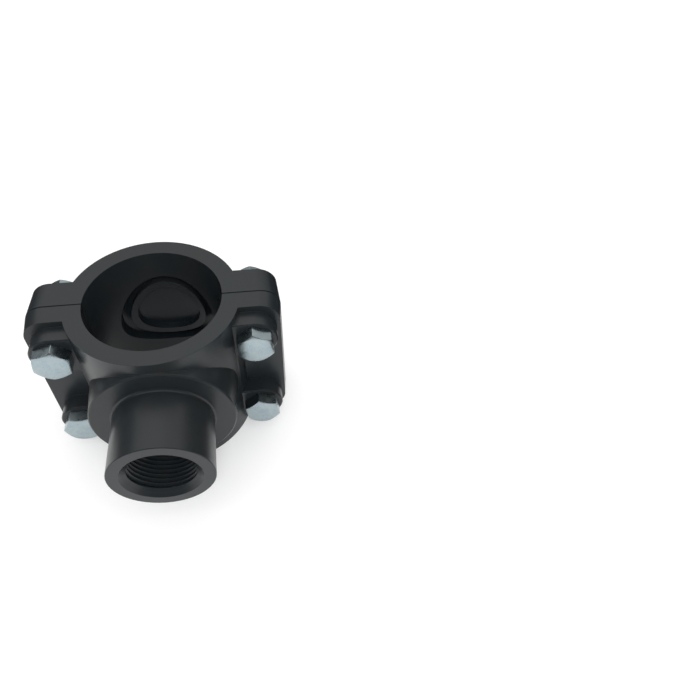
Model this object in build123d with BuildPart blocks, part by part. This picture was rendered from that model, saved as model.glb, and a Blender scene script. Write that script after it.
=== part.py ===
"""Tapping saddle for 63 mm plastic pressure pipe with a 1 inch female outlet.

Two moulded half shells clamp round the pipe with four M10 bolts.
Origin: centre of the pipe bore.  X: across the ears.  -Y: the outlet.  Z: along the pipe.
All lengths in millimetres.
"""

import math
import os

from build123d import *

# Shells
bore_d = 63.0  # outside diameter of the pipe
saddle_length = 78.0
shell_wall = 8.3
split_gap = 0.6  # seam between the two halves
edge_chamfer = 0.6

# Ears
ear_draft = 1.0  # extra half width at the seam
ear_corner_r = 10.0
front_ear_t = 10.0
rear_ear_t = 15.0

# Bolt pads on the outlet half: round ends joined by a rib along the shell
bolt_from_side = 12.5
bolt_from_end = 14.0
nut_gap = 0.14  # between a nut's flat and the shell, which keeps the nut from turning
pad_r = 10.7
pad_face = 18.4  # bolt seats, from the middle of the seam
rib_inset = 4.0  # outer side of the rib, from the shell's widest line
rib_t = 2.5

# Base and outlet
base_d = 66.8
base_draft = 3.0  # degrees
base_face = 40.7
outlet_d = 46.0  # at the base
outlet_draft = 1.0  # degrees, widening towards the mouth
outlet_mouth = 71.0
mouth_edge_chamfer = 0.3
thread_d = 33.25  # 1 inch BSP parallel, major diameter
thread_depth = 26.0
mouth_chamfer = 1.5
port_d = 28.0

# Seal seat, cut into both bore walls; its floors follow the bore
seat_outer_d = 47.4
seat_width = 4.6
seat_depth = 4.5
rim_drop = 0.5  # the rims inside the seats stand clear of the pipe, so the ring bears on it first
blind_rim_width = 3.3  # plain half, between its seat and its middle recess
seal_clearance = 0.2

# Fasteners, M10
bolt_d = 10.0
bolt_hole_d = 11.0
bolt_length = 45.0
hex_flats = 16.0
hex_face_d = 15.2  # flat left inside the 30 degree chamfer
head_h = 6.4
nut_h = 8.4
nut_bore_clearance = 0.05

bore_r = bore_d / 2
shell_r = bore_r + shell_wall
half_length = saddle_length / 2
bolt_x = math.sqrt(shell_r**2 - rear_ear_t**2) + nut_gap + hex_flats / 2
ear_x = bolt_x + bolt_from_side
rib_x = shell_r - rib_inset
bolt_z = half_length - bolt_from_end
seat_inner_d = seat_outer_d - 2 * seat_width
base_start = pad_face - 3  # the base and outlet start inside the shell
base_root_r = base_d / 2 + (base_face - base_start) * math.tan(math.radians(base_draft))
mouth_r = outlet_d / 2 + (outlet_mouth - base_face) * math.tan(math.radians(outlet_draft))
hex_corner_r = hex_flats / math.sqrt(3)
thread_end = thread_depth - outlet_mouth
port_start = thread_end + (thread_d - port_d) / 2
hex_chamfer_h = (hex_corner_r - hex_face_d / 2) * math.tan(math.radians(30))

bolt_places = {
    "upper_left": (-bolt_x, bolt_z),
    "upper_right": (bolt_x, bolt_z),
    "lower_left": (-bolt_x, -bolt_z),
    "lower_right": (bolt_x, -bolt_z),
}
# Degrees by which each hexagon stands turned after tightening
head_turns = {"upper_left": 35, "upper_right": 42, "lower_left": 0, "lower_right": 46}
nut_turn = 30  # a flat lies along the shell


def facing_front(y):
    """Sketch plane at depth y: local x is X, local y is Z, the normal points at the outlet side."""
    return Plane(origin=(0, y, 0), x_dir=(1, 0, 0), z_dir=(0, -1, 0))


def half_profile(side, ear_t):
    """End view of a half shell with its ears; side is -1 for the outlet half, +1 for the plain one."""
    with BuildSketch(Plane.XY) as profile:
        Circle(shell_r)
        with BuildLine():
            Polyline(
                (-ear_x - ear_draft, 0),
                (ear_x + ear_draft, 0),
                (ear_x, side * ear_t),
                (-ear_x, side * ear_t),
                close=True,
            )
        make_face()
        Circle(bore_r, mode=Mode.SUBTRACT)
        with Locations((0, side * (split_gap / 2 - saddle_length))):
            Rectangle(2 * saddle_length, 2 * saddle_length, mode=Mode.SUBTRACT)
    return profile.sketch


def saddle_ring(outer_d, inner_d, side, inner_r, outer_r):
    """Ring about the Y axis whose two faces follow the pipe at inner_r and outer_r."""
    with BuildPart() as ring:
        with BuildSketch(Plane.XZ):
            Circle(outer_d / 2)
            if inner_d:
                Circle(inner_d / 2, mode=Mode.SUBTRACT)
        extrude(amount=-side * 2 * outer_r)
        Cylinder(outer_r, 2 * outer_d, mode=Mode.INTERSECT)
        if inner_r:
            Cylinder(inner_r, 2 * outer_d, mode=Mode.SUBTRACT)
    return ring.part


def hexagon(place, turn, seat, face):
    """Hexagonal prism along Y from its seat to its outer face, whose corners have a 30 degree chamfer."""
    x, z = place
    chamfer_start = face - math.copysign(hex_chamfer_h, face)
    with BuildPart() as prism:
        with BuildSketch(facing_front(max(seat, face))):
            with Locations(place):
                RegularPolygon(hex_corner_r, 6, rotation=turn)
        extrude(amount=abs(face - seat))
        with BuildSketch(Plane.XY.offset(z)):
            with BuildLine():
                Polyline(
                    (x, seat),
                    (x + hex_corner_r, seat),
                    (x + hex_corner_r, chamfer_start),
                    (x + hex_face_d / 2, face),
                    (x, face),
                    close=True,
                )
            make_face()
        revolve(axis=Axis((x, 0, z), (0, 1, 0)), mode=Mode.INTERSECT)
    return prism.part


def is_ear_corner(edge):
    """Corner of an ear in the view along the bolts."""
    centre = edge.center()
    return abs(centre.X) > ear_x - 0.01 and abs(abs(centre.Z) - half_length) < 0.01


half_sketches = {-1: half_profile(-1, front_ear_t), 1: half_profile(1, rear_ear_t)}
seat_grooves = {side: saddle_ring(seat_outer_d, seat_inner_d, side, 0, bore_r + seat_depth) for side in (-1, 1)}
rim_clearances = {side: saddle_ring(seat_outer_d, 0, side, 0, bore_r + rim_drop) for side in (-1, 1)}
blind_recess = saddle_ring(seat_inner_d - 2 * blind_rim_width, 0, 1, 0, bore_r + seat_depth)

with BuildPart() as bolt_pads:
    with BuildSketch(facing_front(-split_gap)):
        with Locations(*bolt_places.values()):
            Circle(pad_r)
        with Locations(*[(x - math.copysign(pad_r / 2, x), z) for x, z in bolt_places.values()]):
            Rectangle(pad_r, 2 * pad_r)
        with Locations((rib_x - rib_t / 2, 0), (rib_t / 2 - rib_x, 0)):
            Rectangle(rib_t, 2 * (bolt_z + pad_r))
    extrude(amount=pad_face - split_gap)
    chamfer(bolt_pads.faces().filter_by(Axis.Y).group_by(Axis.Y)[0].edges(), edge_chamfer)

with BuildPart() as outlet_half:
    add(half_sketches[-1])
    extrude(amount=half_length, both=True)
    fillet(outlet_half.edges().filter_by(is_ear_corner), ear_corner_r)
    add(bolt_pads.part)
    # Round base and outlet, turned about Y
    with BuildSketch(Plane.XY) as base_outline:
        with BuildLine():
            Polyline(
                (0, -base_start),
                (base_root_r, -base_start),
                (base_d / 2, -base_face),
                (outlet_d / 2, -base_face),
                (mouth_r, -outlet_mouth),
                (0, -outlet_mouth),
                close=True,
            )
        make_face()
        chamfer(base_outline.vertices().group_by(Axis.Y)[1].sort_by(Axis.X)[-1], edge_chamfer)
        chamfer(base_outline.vertices().group_by(Axis.Y)[0].sort_by(Axis.X)[-1], mouth_edge_chamfer)
    revolve(axis=Axis.Y)
    # Bore, port and threaded bore
    Cylinder(bore_r, saddle_length, mode=Mode.SUBTRACT)
    with BuildSketch(Plane.XY):
        with BuildLine():
            Polyline(
                (0, 0),
                (port_d / 2, 0),
                (port_d / 2, port_start),
                (thread_d / 2, thread_end),
                (thread_d / 2, mouth_chamfer - outlet_mouth),
                (thread_d / 2 + mouth_chamfer, -outlet_mouth),
                (0, -outlet_mouth),
                close=True,
            )
        make_face()
    revolve(axis=Axis.Y, mode=Mode.SUBTRACT)
    add(seat_grooves[-1], mode=Mode.SUBTRACT)
    add(rim_clearances[-1], mode=Mode.SUBTRACT)
    with BuildSketch(facing_front(0)):
        with Locations(*bolt_places.values()):
            Circle(bolt_hole_d / 2)
    extrude(amount=pad_face, mode=Mode.SUBTRACT)

with BuildPart() as plain_half:
    add(half_sketches[1])
    extrude(amount=half_length, both=True)
    fillet(plain_half.edges().filter_by(is_ear_corner), ear_corner_r)
    add(seat_grooves[1], mode=Mode.SUBTRACT)
    add(rim_clearances[1], mode=Mode.SUBTRACT)
    add(blind_recess, mode=Mode.SUBTRACT)
    with BuildSketch(facing_front(rear_ear_t)):
        with Locations(*bolt_places.values()):
            Circle(bolt_hole_d / 2)
    extrude(amount=rear_ear_t, mode=Mode.SUBTRACT)

seal_rings = saddle_ring(
    seat_outer_d - 2 * seal_clearance, seat_inner_d + 2 * seal_clearance, -1, bore_r, bore_r + seat_depth
)
with BuildPart() as outlet_seal:
    add(seal_rings)

parts = {"outlet_half": outlet_half, "plain_half": plain_half, "outlet_seal": outlet_seal}
for name, place in bolt_places.items():
    x, z = place
    head = hexagon(place, head_turns[name], -pad_face, -pad_face - head_h)
    with BuildPart() as bolt:
        add(head)
        with BuildSketch(facing_front(-pad_face)):
            with Locations(place):
                Circle(bolt_d / 2)
        extrude(amount=-bolt_length)
    nut_body = hexagon(place, nut_turn, rear_ear_t, rear_ear_t + nut_h)
    with BuildPart() as nut:
        add(nut_body)
        with BuildSketch(facing_front(rear_ear_t + nut_h)):
            with Locations(place):
                Circle(bolt_d / 2 + nut_bore_clearance)
        extrude(amount=nut_h, mode=Mode.SUBTRACT)
    parts[f"bolt_{name}"] = bolt
    parts[f"nut_{name}"] = nut

os.makedirs("parts", exist_ok=True)
for name, piece in parts.items():
    piece.part.label = name
    export_step(piece.part, f"parts/{name}.step")
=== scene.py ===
import math
import bpy
import bmesh
from mathutils import Matrix, Vector


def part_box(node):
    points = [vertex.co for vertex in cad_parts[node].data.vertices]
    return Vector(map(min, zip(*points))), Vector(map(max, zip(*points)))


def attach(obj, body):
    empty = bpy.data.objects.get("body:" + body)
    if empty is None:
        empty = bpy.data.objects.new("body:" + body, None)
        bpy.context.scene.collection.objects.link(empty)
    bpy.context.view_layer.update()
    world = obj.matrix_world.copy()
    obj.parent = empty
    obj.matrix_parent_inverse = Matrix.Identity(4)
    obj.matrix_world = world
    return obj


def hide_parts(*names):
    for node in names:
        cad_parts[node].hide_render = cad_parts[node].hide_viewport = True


# Tapping saddle: looks for the two moulded halves, the rubber ring and the M10 fasteners

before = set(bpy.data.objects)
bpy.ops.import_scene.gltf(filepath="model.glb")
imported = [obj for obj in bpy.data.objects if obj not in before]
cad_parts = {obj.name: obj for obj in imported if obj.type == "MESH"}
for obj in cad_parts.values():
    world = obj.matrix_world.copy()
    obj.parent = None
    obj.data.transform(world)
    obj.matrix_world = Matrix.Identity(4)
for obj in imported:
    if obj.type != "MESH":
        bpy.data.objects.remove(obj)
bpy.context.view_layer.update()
scene = bpy.context.scene
for leftover in ("Cube", "Light", "Camera"):
    if leftover in bpy.data.objects:
        bpy.data.objects.remove(bpy.data.objects[leftover], do_unlink=True)
print("saddle frame loaded")

mm = 0.001  # the dictionaries of pieces are in millimetres


# shared node groups

def startGroup(name, inputs, outputs):  # every input is a number, which each finish sets
    group = bpy.data.node_groups.new(name, "ShaderNodeTree")
    for label in inputs:
        group.interface.new_socket(label, in_out="INPUT", socket_type="NodeSocketFloat")
    for label, kind in outputs.items():
        group.interface.new_socket(label, in_out="OUTPUT", socket_type=kind)
    return group, group.nodes.new("NodeGroupInput"), group.nodes.new("NodeGroupOutput")


def addNode(tree, kind, inputs=None, **settings):
    node = tree.nodes.new(kind)
    for key, value in settings.items():
        setattr(node, key, value)
    for key, value in (inputs or {}).items():
        node.inputs[key].default_value = value
    return node


# Moulded or plated grain: two sizes of noise as one height, and a slow patchiness
grainNoise = {
    "fine": {"Detail": 3, "Roughness": 0.55},
    "wave": {"Detail": 2, "Scale": 160},
    "patch": {"Detail": 5, "Roughness": 0.6},
}
grainGroup, grainIn, grainOut = startGroup(
    "surfaceGrain", ["Fine Scale", "Patch Scale"], {"Height": "NodeSocketFloat", "Patches": "NodeSocketFloat"}
)
coords = addNode(grainGroup, "ShaderNodeTexCoord")
fineNoise = addNode(grainGroup, "ShaderNodeTexNoise", grainNoise["fine"])
waveNoise = addNode(grainGroup, "ShaderNodeTexNoise", grainNoise["wave"])
patchNoise = addNode(grainGroup, "ShaderNodeTexNoise", grainNoise["patch"])
heightSum = addNode(grainGroup, "ShaderNodeMath", operation="ADD")
for noise in (fineNoise, waveNoise, patchNoise):
    grainGroup.links.new(coords.outputs["Object"], noise.inputs["Vector"])
grainGroup.links.new(grainIn.outputs["Fine Scale"], fineNoise.inputs["Scale"])
grainGroup.links.new(grainIn.outputs["Patch Scale"], patchNoise.inputs["Scale"])
grainGroup.links.new(fineNoise.outputs["Fac"], heightSum.inputs[0])
grainGroup.links.new(waveNoise.outputs["Fac"], heightSum.inputs[1])
grainGroup.links.new(heightSum.outputs[0], grainOut.inputs["Height"])
grainGroup.links.new(patchNoise.outputs["Fac"], grainOut.inputs["Patches"])

# Edge softening: the rounded normal of a moulded or rolled edge, and a mask of where edges are
edgeMask = {"samples": 8, "from": 0.99, "to": 0.8}  # from and to: rounded normal dot true normal
edgeGroup, edgeIn, edgeOut = startGroup(
    "softEdges", ["Radius"], {"Normal": "NodeSocketVector", "Edges": "NodeSocketFloat"}
)
rounding = addNode(edgeGroup, "ShaderNodeBevel", samples=edgeMask["samples"])
trueNormal = addNode(edgeGroup, "ShaderNodeNewGeometry")
normalDot = addNode(edgeGroup, "ShaderNodeVectorMath", operation="DOT_PRODUCT")
edgeRange = addNode(
    edgeGroup, "ShaderNodeMapRange", {"From Min": edgeMask["from"], "From Max": edgeMask["to"]}
)
edgeGroup.links.new(edgeIn.outputs["Radius"], rounding.inputs["Radius"])
edgeGroup.links.new(rounding.outputs["Normal"], normalDot.inputs[0])
edgeGroup.links.new(trueNormal.outputs["Normal"], normalDot.inputs[1])
edgeGroup.links.new(normalDot.outputs["Value"], edgeRange.inputs["Value"])
edgeGroup.links.new(rounding.outputs["Normal"], edgeOut.inputs["Normal"])
edgeGroup.links.new(edgeRange.outputs["Result"], edgeOut.inputs["Edges"])


# materials

noiseSpan = {"colour": (0.35, 0.65), "roughness": (0.3, 0.7)}  # the noise values stretched to the full change


def makeFinish(name, look):
    material = bpy.data.materials.new(name)
    material.use_nodes = True
    tree = material.node_tree
    shader = tree.nodes["Principled BSDF"]
    shader.inputs["Metallic"].default_value = look["metallic"]
    shader.inputs["IOR"].default_value = look["ior"]
    shader.inputs["Specular IOR Level"].default_value = look["specular"]
    grain = addNode(tree, "ShaderNodeGroup", node_tree=grainGroup)
    grain.inputs["Fine Scale"].default_value = look["grainScale"]
    grain.inputs["Patch Scale"].default_value = look["patchScale"]
    edges = addNode(tree, "ShaderNodeGroup", node_tree=edgeGroup)
    edges.inputs["Radius"].default_value = look["edgeRadius"]

    low, high = noiseSpan["colour"]
    patchRange = addNode(tree, "ShaderNodeMapRange", {"From Min": low, "From Max": high})
    patchColour = addNode(tree, "ShaderNodeMix", data_type="RGBA")
    patchColour.inputs["A"].default_value = (*look["colour"], 1)
    patchColour.inputs["B"].default_value = (*look["patchColour"], 1)
    # painted highlight: a lighter edge colour mixed in where the edge mask finds edges
    highlightedColour = addNode(tree, "ShaderNodeMix", data_type="RGBA")
    highlightedColour.inputs["B"].default_value = (*look["edgeHighlightColour"], 1)
    highlightShare = addNode(tree, "ShaderNodeMath", {1: look["edgeHighlightShare"]}, operation="MULTIPLY")
    low, high = noiseSpan["roughness"]
    smoothest, roughest = look["roughness"]
    roughRange = addNode(
        tree, "ShaderNodeMapRange",
        {"From Min": low, "From Max": high, "To Min": smoothest, "To Max": roughest},
    )
    bump = addNode(tree, "ShaderNodeBump", {"Strength": look["bump"], "Distance": look["bumpDepth"]})
    tree.links.new(grain.outputs["Patches"], patchRange.inputs["Value"])
    tree.links.new(patchRange.outputs["Result"], patchColour.inputs["Factor"])
    tree.links.new(patchColour.outputs["Result"], highlightedColour.inputs["A"])
    tree.links.new(edges.outputs["Edges"], highlightShare.inputs[0])
    tree.links.new(highlightShare.outputs[0], highlightedColour.inputs["Factor"])
    tree.links.new(highlightedColour.outputs["Result"], shader.inputs["Base Color"])
    tree.links.new(grain.outputs["Patches"], roughRange.inputs["Value"])
    tree.links.new(roughRange.outputs["Result"], shader.inputs["Roughness"])
    tree.links.new(grain.outputs["Height"], bump.inputs["Height"])
    tree.links.new(edges.outputs["Normal"], bump.inputs["Normal"])
    tree.links.new(bump.outputs["Normal"], shader.inputs["Normal"])
    return material


# bumpDepth and edgeRadius are in metres; the edge colour is a painted highlight, mixed in along edges by its
# share
blackPolypropylene = makeFinish("blackPolypropylene", {
    "colour": (0.0118, 0.0158, 0.019), "patchColour": (0.015, 0.0175, 0.019),
    "edgeHighlightColour": (0.035, 0.037, 0.038), "edgeHighlightShare": 0.12, "edgeRadius": 0.0003,
    "metallic": 0, "ior": 1.49, "specular": 0.39, "roughness": (0.27, 0.36),
    "grainScale": 1100, "patchScale": 45, "bump": 0.1, "bumpDepth": 0.00005,
})
zincPlate = makeFinish("zincPlate", {
    "colour": (0.33, 0.41, 0.445), "patchColour": (0.41, 0.48, 0.505),
    "edgeHighlightColour": (0.68, 0.72, 0.74), "edgeHighlightShare": 0.5, "edgeRadius": 0.00025,
    "metallic": 1, "ior": 1.5, "specular": 0.5, "roughness": (0.24, 0.36),
    "grainScale": 1500, "patchScale": 300, "bump": 0.2, "bumpDepth": 0.00005,
})
ringRubber = makeFinish("ringRubber", {
    "colour": (0.008, 0.008, 0.008), "patchColour": (0.014, 0.014, 0.014),
    "edgeHighlightColour": (0.02, 0.02, 0.02), "edgeHighlightShare": 0.3, "edgeRadius": 0.0003,
    "metallic": 0, "ior": 1.5, "specular": 0.4, "roughness": (0.5, 0.65),
    "grainScale": 2000, "patchScale": 90, "bump": 0.3, "bumpDepth": 0.00008,
})
finishes = {"black_pp": blackPolypropylene, "zinc_steel": zincPlate, "seal_rubber": ringRubber}
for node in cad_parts:
    for materialSlot in bpy.data.objects[node].material_slots:
        materialSlot.material = finishes[materialSlot.material.name]
print("finishes on the moulded halves, ring and fasteners")


# The fasteners' and the outlet's own meshes are made upright on Z, then laid down with Z towards the outlet
towardsOutlet = Matrix(((1, 0, 0, 0), (0, 0, -1, 0), (0, 1, 0, 0), (0, 0, 0, 1)))
weldDistance = 0.003


def spinProfile(bm, points, steps, turns=1, climb=0):  # steps and climb are for one turn
    verts = [bm.verts.new((r * mm, 0, z * mm)) for r, z in points]
    edges = [bm.edges.new(pair) for pair in zip(verts, verts[1:])]
    bmesh.ops.spin(
        bm, geom=verts + edges, cent=(0, 0, 0), axis=(0, 0, 1), dvec=(0, 0, climb * mm / steps),
        angle=2 * math.pi * turns, steps=steps * turns, use_merge=climb == 0,
    )
    bmesh.ops.remove_doubles(bm, verts=bm.verts, dist=weldDistance * mm)


def meshFrom(bm, name):
    bmesh.ops.recalc_face_normals(bm, faces=bm.faces)
    mesh = bpy.data.meshes.new(name)
    bm.to_mesh(mesh)
    bm.free()
    return mesh


def spunMesh(name, points, steps):
    bm = bmesh.new()
    spinProfile(bm, points, steps)
    return meshFrom(bm, name)


def cutWith(mesh, tools):  # exact booleans of one mesh with others
    body = bpy.data.objects.new("blank", mesh)
    scene.collection.objects.link(body)
    helpers = []
    for operation, toolMesh in tools:
        helper = bpy.data.objects.new("cutter", toolMesh)
        scene.collection.objects.link(helper)
        helpers.append(helper)
        cut = body.modifiers.new("cut", "BOOLEAN")
        cut.operation = operation
        cut.solver = "EXACT"
        cut.object = helper
    bpy.context.view_layer.update()
    result = bpy.data.meshes.new_from_object(body.evaluated_get(bpy.context.evaluated_depsgraph_get()))
    for used in (body, *helpers):
        bpy.data.objects.remove(used, do_unlink=True)
    return result


def layPiece(name, meshes, place, slotName, sharpAngle):
    bm = bmesh.new()
    for mesh in meshes:
        bm.from_mesh(mesh)
    bmesh.ops.transform(bm, matrix=towardsOutlet, verts=bm.verts)
    bmesh.ops.translate(bm, verts=bm.verts, vec=(place[0], 0, place[1]))
    mesh = bpy.data.meshes.new(name)
    bm.to_mesh(mesh)
    bm.free()
    mesh.shade_smooth()
    mesh.set_sharp_from_angle(angle=math.radians(sharpAngle))
    mesh.materials.clear()
    mesh.materials.append(finishes[slotName])
    piece = bpy.data.objects.new(name, mesh)
    scene.collection.objects.link(piece)
    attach(piece, "root")
    return piece


hexagon = {  # heads and nuts alike; margin and overrun are how far the cutting cones reach past it
    "flats": 16, "chamferAngle": 30, "margin": 0.4, "overrun": 1, "chamferSteps": 192, "sharpAngle": 32,
}


def hexBlank(low, high, turn):  # at 0 a corner points along X
    bm = bmesh.new()
    base = bmesh.ops.create_circle(bm, cap_ends=True, segments=6, radius=hexagon["flats"] / math.sqrt(3) * mm)
    bmesh.ops.rotate(bm, verts=base["verts"], matrix=Matrix.Rotation(math.radians(turn + 30), 3, "Z"))
    bmesh.ops.translate(bm, verts=base["verts"], vec=(0, 0, low * mm))
    raised = bmesh.ops.extrude_face_region(bm, geom=bm.faces[:])
    raisedVerts = [element for element in raised["geom"] if isinstance(element, bmesh.types.BMVert)]
    bmesh.ops.translate(bm, verts=raisedVerts, vec=(0, 0, (high - low) * mm))
    return meshFrom(bm, "hexBlank")


def chamferShape(faceD, low, high, bothEnds):  # the turned cones that cut a hexagon's corners
    corner = hexagon["flats"] / math.sqrt(3) + hexagon["margin"]
    drop = (corner - faceD / 2) * math.tan(math.radians(hexagon["chamferAngle"]))
    if bothEnds:
        foot = [(0, low), (faceD / 2, low), (corner, low + drop)]
    else:
        foot = [(0, low - hexagon["overrun"]), (corner, low - hexagon["overrun"])]
    points = foot + [(corner, high - drop), (faceD / 2, high), (0, high)]
    return spunMesh("chamferShape", points, hexagon["chamferSteps"])


turnGap = 0.02  # neighbouring turns stay apart by this


def threadMesh(shape, low, length, tipR=None):  # one closed ridge wound along Z, its back sunk in its carrier
    pitch, back, root, crest = (shape[key] for key in ("pitch", "backR", "rootR", "crestR"))
    flat = pitch / 8
    slope = (pitch - 2 * flat) / 2
    top = low + pitch - turnGap
    points = [
        (back, low), (root, low), (root, low + flat), (crest, low + flat + slope),
        (crest, low + 2 * flat + slope), (root, top), (back, top), (back, low),
    ]
    bm = bmesh.new()
    spinProfile(bm, points, shape["stepsPerTurn"], int(length / pitch) - 1, pitch)
    bmesh.ops.holes_fill(bm, edges=[edge for edge in bm.edges if edge.is_boundary], sides=0)
    if tipR:
        for vert in bm.verts:  # trims the ridge to the 45 degree chamfer at the tip
            r = math.hypot(vert.co.x, vert.co.y)
            allowed = min(r / mm, tipR + vert.co.z / mm - low) * mm
            vert.co.x *= allowed / r
            vert.co.y *= allowed / r
    return meshFrom(bm, "thread")


bolts = {
    "headTurns": {"upper_left": 20, "upper_right": 35, "lower_left": 0, "lower_right": 40},
    "headHeight": 6.4, "faceD": 14.7, "threadedLength": 16.5, "pitch": 1.5,
    "crestR": 4.94, "rootR": 4.1, "backR": 3.9, "stepsPerTurn": 40, "shankSteps": 48,
    "endChamfer": 0.9, "tipInset": 0.05, "tipRise": 0.4, "runOut": 0.8,
}
nuts = {
    "turn": 30, "faceD": 15.6, "boreR": 5.05, "sinkR": 6.2, "sinkDepth": 0.9,  # sink: the countersinks
    "clear": 0.01, "overrun": 1, "boreSteps": 64,
}
for corner, headTurn in bolts["headTurns"].items():
    low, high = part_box("bolt_" + corner)
    place = ((low.x + high.x) / 2, (low.z + high.z) / 2)
    face, end = -low.y / mm, -high.y / mm
    seat = face - bolts["headHeight"]
    head = cutWith(
        hexBlank(seat, face, headTurn),
        [("INTERSECT", chamferShape(bolts["faceD"], seat, face, False))],
    )
    tipR = bolts["crestR"] - bolts["endChamfer"]
    thread = threadMesh(bolts, end, bolts["threadedLength"], tipR)
    threadTop = end + bolts["threadedLength"]
    shank = spunMesh("shank", [
        (0, end), (tipR - bolts["tipInset"], end), (bolts["rootR"], end + bolts["tipRise"]),
        (bolts["rootR"], threadTop), (bolts["crestR"], threadTop + bolts["runOut"]), (bolts["crestR"], seat),
        (0, seat),
    ], bolts["shankSteps"])
    bolt = layPiece(
        "bolt_" + corner + "_detailed", [head, shank, thread], place, "zinc_steel", hexagon["sharpAngle"]
    )
    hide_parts("bolt_" + corner)

    low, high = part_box("nut_" + corner)
    outer, inner = -high.y / mm, -low.y / mm
    nutBore = spunMesh("nutBore", [
        (0, outer - nuts["overrun"]), (nuts["sinkR"], outer - nuts["overrun"]),
        (nuts["sinkR"], outer - nuts["clear"]), (nuts["boreR"], outer + nuts["sinkDepth"]),
        (nuts["boreR"], inner - nuts["sinkDepth"]), (nuts["sinkR"], inner + nuts["clear"]),
        (nuts["sinkR"], inner + nuts["overrun"]), (0, inner + nuts["overrun"]),
    ], nuts["boreSteps"])
    nutMesh = cutWith(
        hexBlank(outer, inner, nuts["turn"]),
        [("INTERSECT", chamferShape(nuts["faceD"], outer, inner, True)), ("DIFFERENCE", nutBore)],
    )
    nut = layPiece("nut_" + corner + "_detailed", [nutMesh], place, "zinc_steel", hexagon["sharpAngle"])
    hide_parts("nut_" + corner)
print("bolts and nuts made")

outletThread = {  # heights are along the outlet from the pipe's middle; leadIn closes the thread at the mouth
    "pitch": 2.309, "crestR": 15.2, "rootR": 16.62, "backR": 16.75, "deep": 46.2, "topOfTurns": 67.4,
    "leadIn": [(16.62, 69.45), (15.25, 68.1), (15.2, 67.6), (16.62, 66.4), (16.75, 66.4), (16.75, 69.45)],
    "stepsPerTurn": 72, "leadInSteps": 96, "sharpAngle": 25,
}
deep, leadIn = outletThread["deep"], outletThread["leadIn"]
outletTurns = threadMesh(outletThread, deep, outletThread["topOfTurns"] - deep)
leadInRing = spunMesh("leadInRing", leadIn + leadIn[:1], outletThread["leadInSteps"])
layPiece("outlet_thread_turns", [outletTurns, leadInRing], (0, 0), "black_pp", outletThread["sharpAngle"])
print("outlet thread cut")

outletRoot = {  # the moulded fillet where the outlet leaves its base, its back sunk into both
    "radius": 1.1, "outletR": 23, "baseFace": 40.7, "sink": 0.25,
    "arcStep": 15, "steps": 128, "sharpAngle": 40,
}
filletR, outletR, baseFace, sink = (outletRoot[key] for key in ("radius", "outletR", "baseFace", "sink"))
arc = [math.radians(angle) for angle in range(0, 91, outletRoot["arcStep"])]
fillet = [
    (outletR + filletR * (1 - math.cos(angle)), baseFace + filletR * (1 - math.sin(angle))) for angle in arc
]
buried = [
    (outletR + filletR, baseFace - sink), (outletR - sink, baseFace - sink),
    (outletR - sink, baseFace + filletR),
]
rootMesh = spunMesh("outletRoot", fillet + buried + fillet[:1], outletRoot["steps"])
layPiece("outlet_root_fillet", [rootMesh], (0, 0), "black_pp", outletRoot["sharpAngle"])
print("outlet root rounded")


# camera; place is in millimetres
view = {
    "lens": 33.113, "sensor": 36, "clipStart": 0.01, "place": (51.846, -219.069, 252.485),
    "right": (0.98875, -0.14507, 0.03648), "up": (0.08740, 0.75819, 0.64615),
    "ahead": (0.12139, 0.63569, -0.76234),
}
cameraData = bpy.data.cameras.new("saddleCamera")
cameraData.lens = view["lens"]
cameraData.sensor_width = view["sensor"]
cameraData.clip_start = view["clipStart"]
camera = bpy.data.objects.new("saddleCamera", cameraData)
turn = Matrix((view["right"], view["up"], [-c for c in view["ahead"]])).transposed()
camera.matrix_world = Matrix.Translation(Vector(view["place"]) * mm) @ turn.to_4x4()
scene.collection.objects.link(camera)
scene.camera = camera


# floor, sky and lamps, in metres
floorLook = {"halfSize": 6, "colour": (0.95, 0.95, 0.95), "roughness": 0.9, "white": 1, "whiteShare": 0.3}
lowest = min(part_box(node)[0].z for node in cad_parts)
bm = bmesh.new()
bmesh.ops.create_grid(bm, x_segments=1, y_segments=1, size=floorLook["halfSize"])
bmesh.ops.translate(bm, verts=bm.verts, vec=(0, 0, lowest))
floorMesh = bpy.data.meshes.new("studioFloor")
bm.to_mesh(floorMesh)
bm.free()
studioFloor = bpy.data.objects.new("studioFloor", floorMesh)
scene.collection.objects.link(studioFloor)

# The camera, reflections and glass see the floor partly as plain white; the rest keeps the object's shadow
floorFinish = bpy.data.materials.new("studioFloorFinish")
floorFinish.use_nodes = True
floorTree = floorFinish.node_tree
floorShader = floorTree.nodes["Principled BSDF"]
floorShader.inputs["Base Color"].default_value = (*floorLook["colour"], 1)
floorShader.inputs["Roughness"].default_value = floorLook["roughness"]
rays = addNode(floorTree, "ShaderNodeLightPath")
cameraOrGlossy = addNode(floorTree, "ShaderNodeMath", operation="ADD", use_clamp=True)
seenRay = addNode(floorTree, "ShaderNodeMath", operation="ADD", use_clamp=True)
whiteShare = addNode(floorTree, "ShaderNodeMath", {1: floorLook["whiteShare"]}, operation="MULTIPLY")
whiteGlow = addNode(floorTree, "ShaderNodeEmission", {"Color": (1, 1, 1, 1), "Strength": floorLook["white"]})
floorMix = addNode(floorTree, "ShaderNodeMixShader")
floorTree.links.new(rays.outputs["Is Camera Ray"], cameraOrGlossy.inputs[0])
floorTree.links.new(rays.outputs["Is Glossy Ray"], cameraOrGlossy.inputs[1])
floorTree.links.new(cameraOrGlossy.outputs[0], seenRay.inputs[0])
floorTree.links.new(rays.outputs["Is Transmission Ray"], seenRay.inputs[1])
floorTree.links.new(seenRay.outputs[0], whiteShare.inputs[0])
floorTree.links.new(whiteShare.outputs[0], floorMix.inputs["Fac"])
floorTree.links.new(floorShader.outputs[0], floorMix.inputs[1])
floorTree.links.new(whiteGlow.outputs[0], floorMix.inputs[2])
floorTree.links.new(floorMix.outputs[0], floorTree.nodes["Material Output"].inputs["Surface"])
floorMesh.materials.append(floorFinish)

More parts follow.
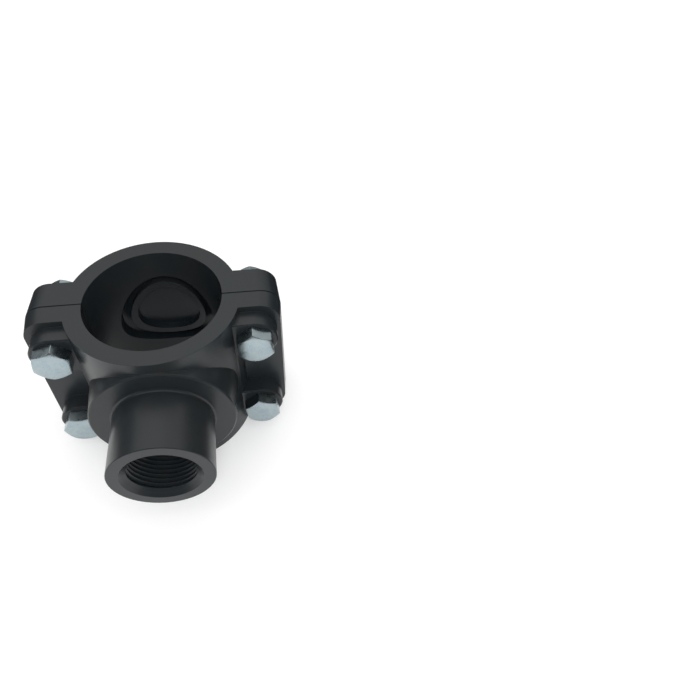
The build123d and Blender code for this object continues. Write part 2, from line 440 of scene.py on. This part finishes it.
sky = {"colour": (1, 0.985, 0.965), "strength": 1}
world = bpy.data.worlds.new("studio")
world.use_nodes = True
world.node_tree.nodes["Background"].inputs["Color"].default_value = (*sky["colour"], 1)
world.node_tree.nodes["Background"].inputs["Strength"].default_value = sky["strength"]
scene.world = world


def addSoftbox(name, place, size, power, colour, mirrored):  # aimed at the middle of the object
    data = bpy.data.lights.new(name, "AREA")
    data.shape = "RECTANGLE"
    data.size, data.size_y = size
    data.energy = power
    data.color = colour
    lamp = bpy.data.objects.new(name, data)
    lamp.location = place
    lamp.visible_glossy = mirrored
    lamp.rotation_euler = (-Vector(place)).to_track_quat("-Z", "Y").to_euler()
    scene.collection.objects.link(lamp)


def addCard(name, turn, distance, aside, size, shade):  # an upright grey card that only reflections see
    width, height = size
    bm = bmesh.new()
    bmesh.ops.create_grid(bm, x_segments=1, y_segments=1, size=0.5)
    bmesh.ops.scale(bm, verts=bm.verts, vec=(width, height, 1))
    bmesh.ops.rotate(bm, verts=bm.verts, matrix=Matrix.Rotation(math.radians(90), 3, "X"))
    bmesh.ops.translate(bm, verts=bm.verts, vec=(aside, -distance, lowest + height / 2))
    bmesh.ops.rotate(bm, verts=bm.verts, matrix=Matrix.Rotation(math.radians(turn), 3, "Z"))
    mesh = bpy.data.meshes.new(name)
    bm.to_mesh(mesh)
    bm.free()
    finish = bpy.data.materials.new(name)
    finish.use_nodes = True
    shader = finish.node_tree.nodes["Principled BSDF"]
    shader.inputs["Base Color"].default_value = (0, 0, 0, 1)
    shader.inputs["Specular IOR Level"].default_value = 0
    shader.inputs["Emission Color"].default_value = (1, 1, 1, 1)
    shader.inputs["Emission Strength"].default_value = shade
    mesh.materials.append(finish)
    card = bpy.data.objects.new(name, mesh)
    card.visible_camera = card.visible_diffuse = card.visible_shadow = False
    scene.collection.objects.link(card)


softboxes = {
    "topSoftbox": {
        "place": (-0.4, 0.5, 2.2), "size": (2.6, 2.6), "power": 6,
        "colour": (1, 0.985, 0.96), "mirrored": True,
    },
    "frontFill": {
        "place": (0.2, -1.1, 1.3), "size": (0.6, 0.6), "power": 13,
        "colour": (0.93, 0.97, 1), "mirrored": False,
    },
}
for name, softbox in softboxes.items():
    addSoftbox(name, **softbox)
cards = {  # turn: degrees about Z, where 0 stands before the outlet; aside: shift sideways; shade: 1 is white
    "frontCard": {"turn": 0, "distance": 1.3, "aside": 0, "size": (2.6, 2), "shade": 0.05},
    "rightCard": {"turn": 90, "distance": 1.3, "aside": 0, "size": (2.6, 1), "shade": 0.15},
    "backCard": {"turn": 180, "distance": 1.3, "aside": 0, "size": (2.6, 1), "shade": 0.4},
    "leftCard": {"turn": 270, "distance": 1.3, "aside": 0, "size": (2.6, 1), "shade": 0.15},
    "rightLowCard": {"turn": 90, "distance": 0.085, "aside": 0.02, "size": (0.2, 0.085), "shade": 0.02},
    "leftLowCard": {"turn": 270, "distance": 0.12, "aside": -0.14, "size": (0.26, 0.09), "shade": 0.08},
}
for name, card in cards.items():
    addCard(name, **card)
print("camera, floor and lamps set")

scene.view_settings.view_transform = "Standard"
